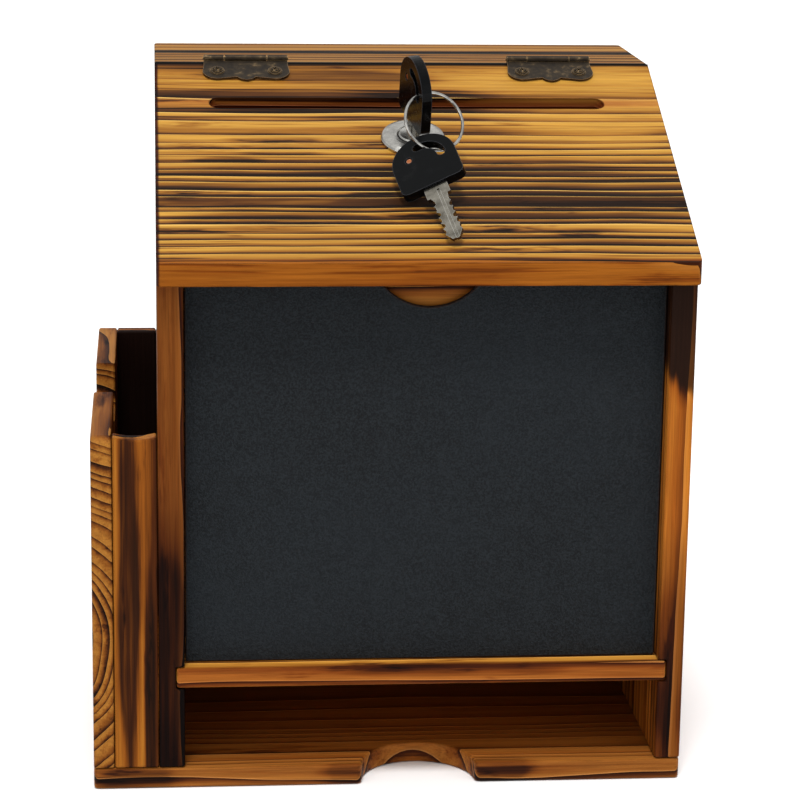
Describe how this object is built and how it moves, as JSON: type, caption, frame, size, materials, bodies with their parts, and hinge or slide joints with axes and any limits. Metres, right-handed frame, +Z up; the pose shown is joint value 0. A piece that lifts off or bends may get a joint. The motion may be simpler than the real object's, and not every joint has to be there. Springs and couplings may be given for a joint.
{
  "type": "donation box",
  "caption": "Wooden donation box: sloped hinged lid with a money slot and key lock, lift-out chalkboard front, open card tray below and an open pocket on one side.",
  "frame": {"origin": "middle of the footprint at floor level, counting the side pocket and the lid's overhang", "axes": "+X to the viewer's right facing the chalkboard, +Y towards the back panel, +Z up"},
  "size_m": [0.254, 0.224, 0.3071],
  "materials": {
    "charred_pine": "torched softwood, dark and light grain stripes under a satin varnish",
    "chalkboard_paint": "black chalkboard paint on thin board, fine orange-peel texture",
    "antique_bronze": "dark antique bronze plating",
    "satin_nickel": "satin nickel plating",
    "bright_steel": "bright nickel-plated steel",
    "black_plastic": "satin black moulded plastic",
    "copper": "worn copper-coloured rivet"
  },
  "bodies": {
    "box": {"base_board": "charred_pine", "left_side_panel": "charred_pine", "right_side_panel": "charred_pine", "back_panel": "charred_pine", "front_panel": "charred_pine", "divider_shelf": "charred_pine", "top_rail": "charred_pine", "rear_cap": "charred_pine", "catch_batten": "charred_pine", "pocket_outer_board": "charred_pine", "pocket_front_board": "charred_pine", "pocket_back_board": "charred_pine", "left_hinge_rail_leaf": "antique_bronze", "left_hinge_pin": "antique_bronze", "left_rail_screw_a": "antique_bronze", "left_rail_screw_b": "antique_bronze", "right_hinge_rail_leaf": "antique_bronze", "right_hinge_pin": "antique_bronze", "right_rail_screw_a": "antique_bronze", "right_rail_screw_b": "antique_bronze"},
    "lid": {"lid": "charred_pine", "left_hinge_lid_leaf": "antique_bronze", "left_lid_screw_a": "antique_bronze", "left_lid_screw_b": "antique_bronze", "right_hinge_lid_leaf": "antique_bronze", "right_lid_screw_a": "antique_bronze", "right_lid_screw_b": "antique_bronze", "lock_body": "satin_nickel", "lock_nut": "satin_nickel"},
    "lock": {"lock_plug": "satin_nickel", "lock_cam": "bright_steel", "cam_screw": "bright_steel"},
    "key": {"key_head": "black_plastic", "key_rivet": "copper", "key_blade": "bright_steel"},
    "ring": {"key_ring": "bright_steel"},
    "spare_key": {"spare_key_head": "black_plastic", "spare_key_rivet": "copper", "spare_key_blade": "bright_steel"},
    "chalkboard": {"chalkboard": "chalkboard_paint"}
  },
  "joints": [
    {"name": "lid_hinge", "type": "hinge", "parent": "box", "child": "lid", "pos_m": [0, 0.034, 0.2974], "axis": [-1, 0, 0], "range_deg": [0, 105]},
    {"name": "lock_turn", "type": "hinge", "parent": "lid", "child": "lock", "pos_m": [0.0135, -0.02588, 0.26913], "axis": [0, -0.4075, 0.9132], "range_deg": [0, 90]},
    {"name": "key_withdraw", "type": "slide", "parent": "lock", "child": "key", "axis": [0, -0.4075, 0.9132], "range_m": [0, 0.036]},
    {"name": "ring_swing", "type": "hinge", "parent": "key", "child": "ring", "pos_m": [0.01559, -0.04448, 0.29167], "axis": [-0.893, -0.4032, -0.2], "range_deg": [0, 35]},
    {"name": "spare_key_swing", "type": "hinge", "parent": "ring", "child": "spare_key", "pos_m": [0.0165, -0.05629, 0.2698], "axis": [-0.9175, -0.0855, 0.3885], "range_deg": [0, 25]},
    {"name": "chalkboard_pull", "type": "slide", "parent": "box", "child": "chalkboard", "axis": [0, -1, 0], "range_m": [0, 0.05]}
  ]
}
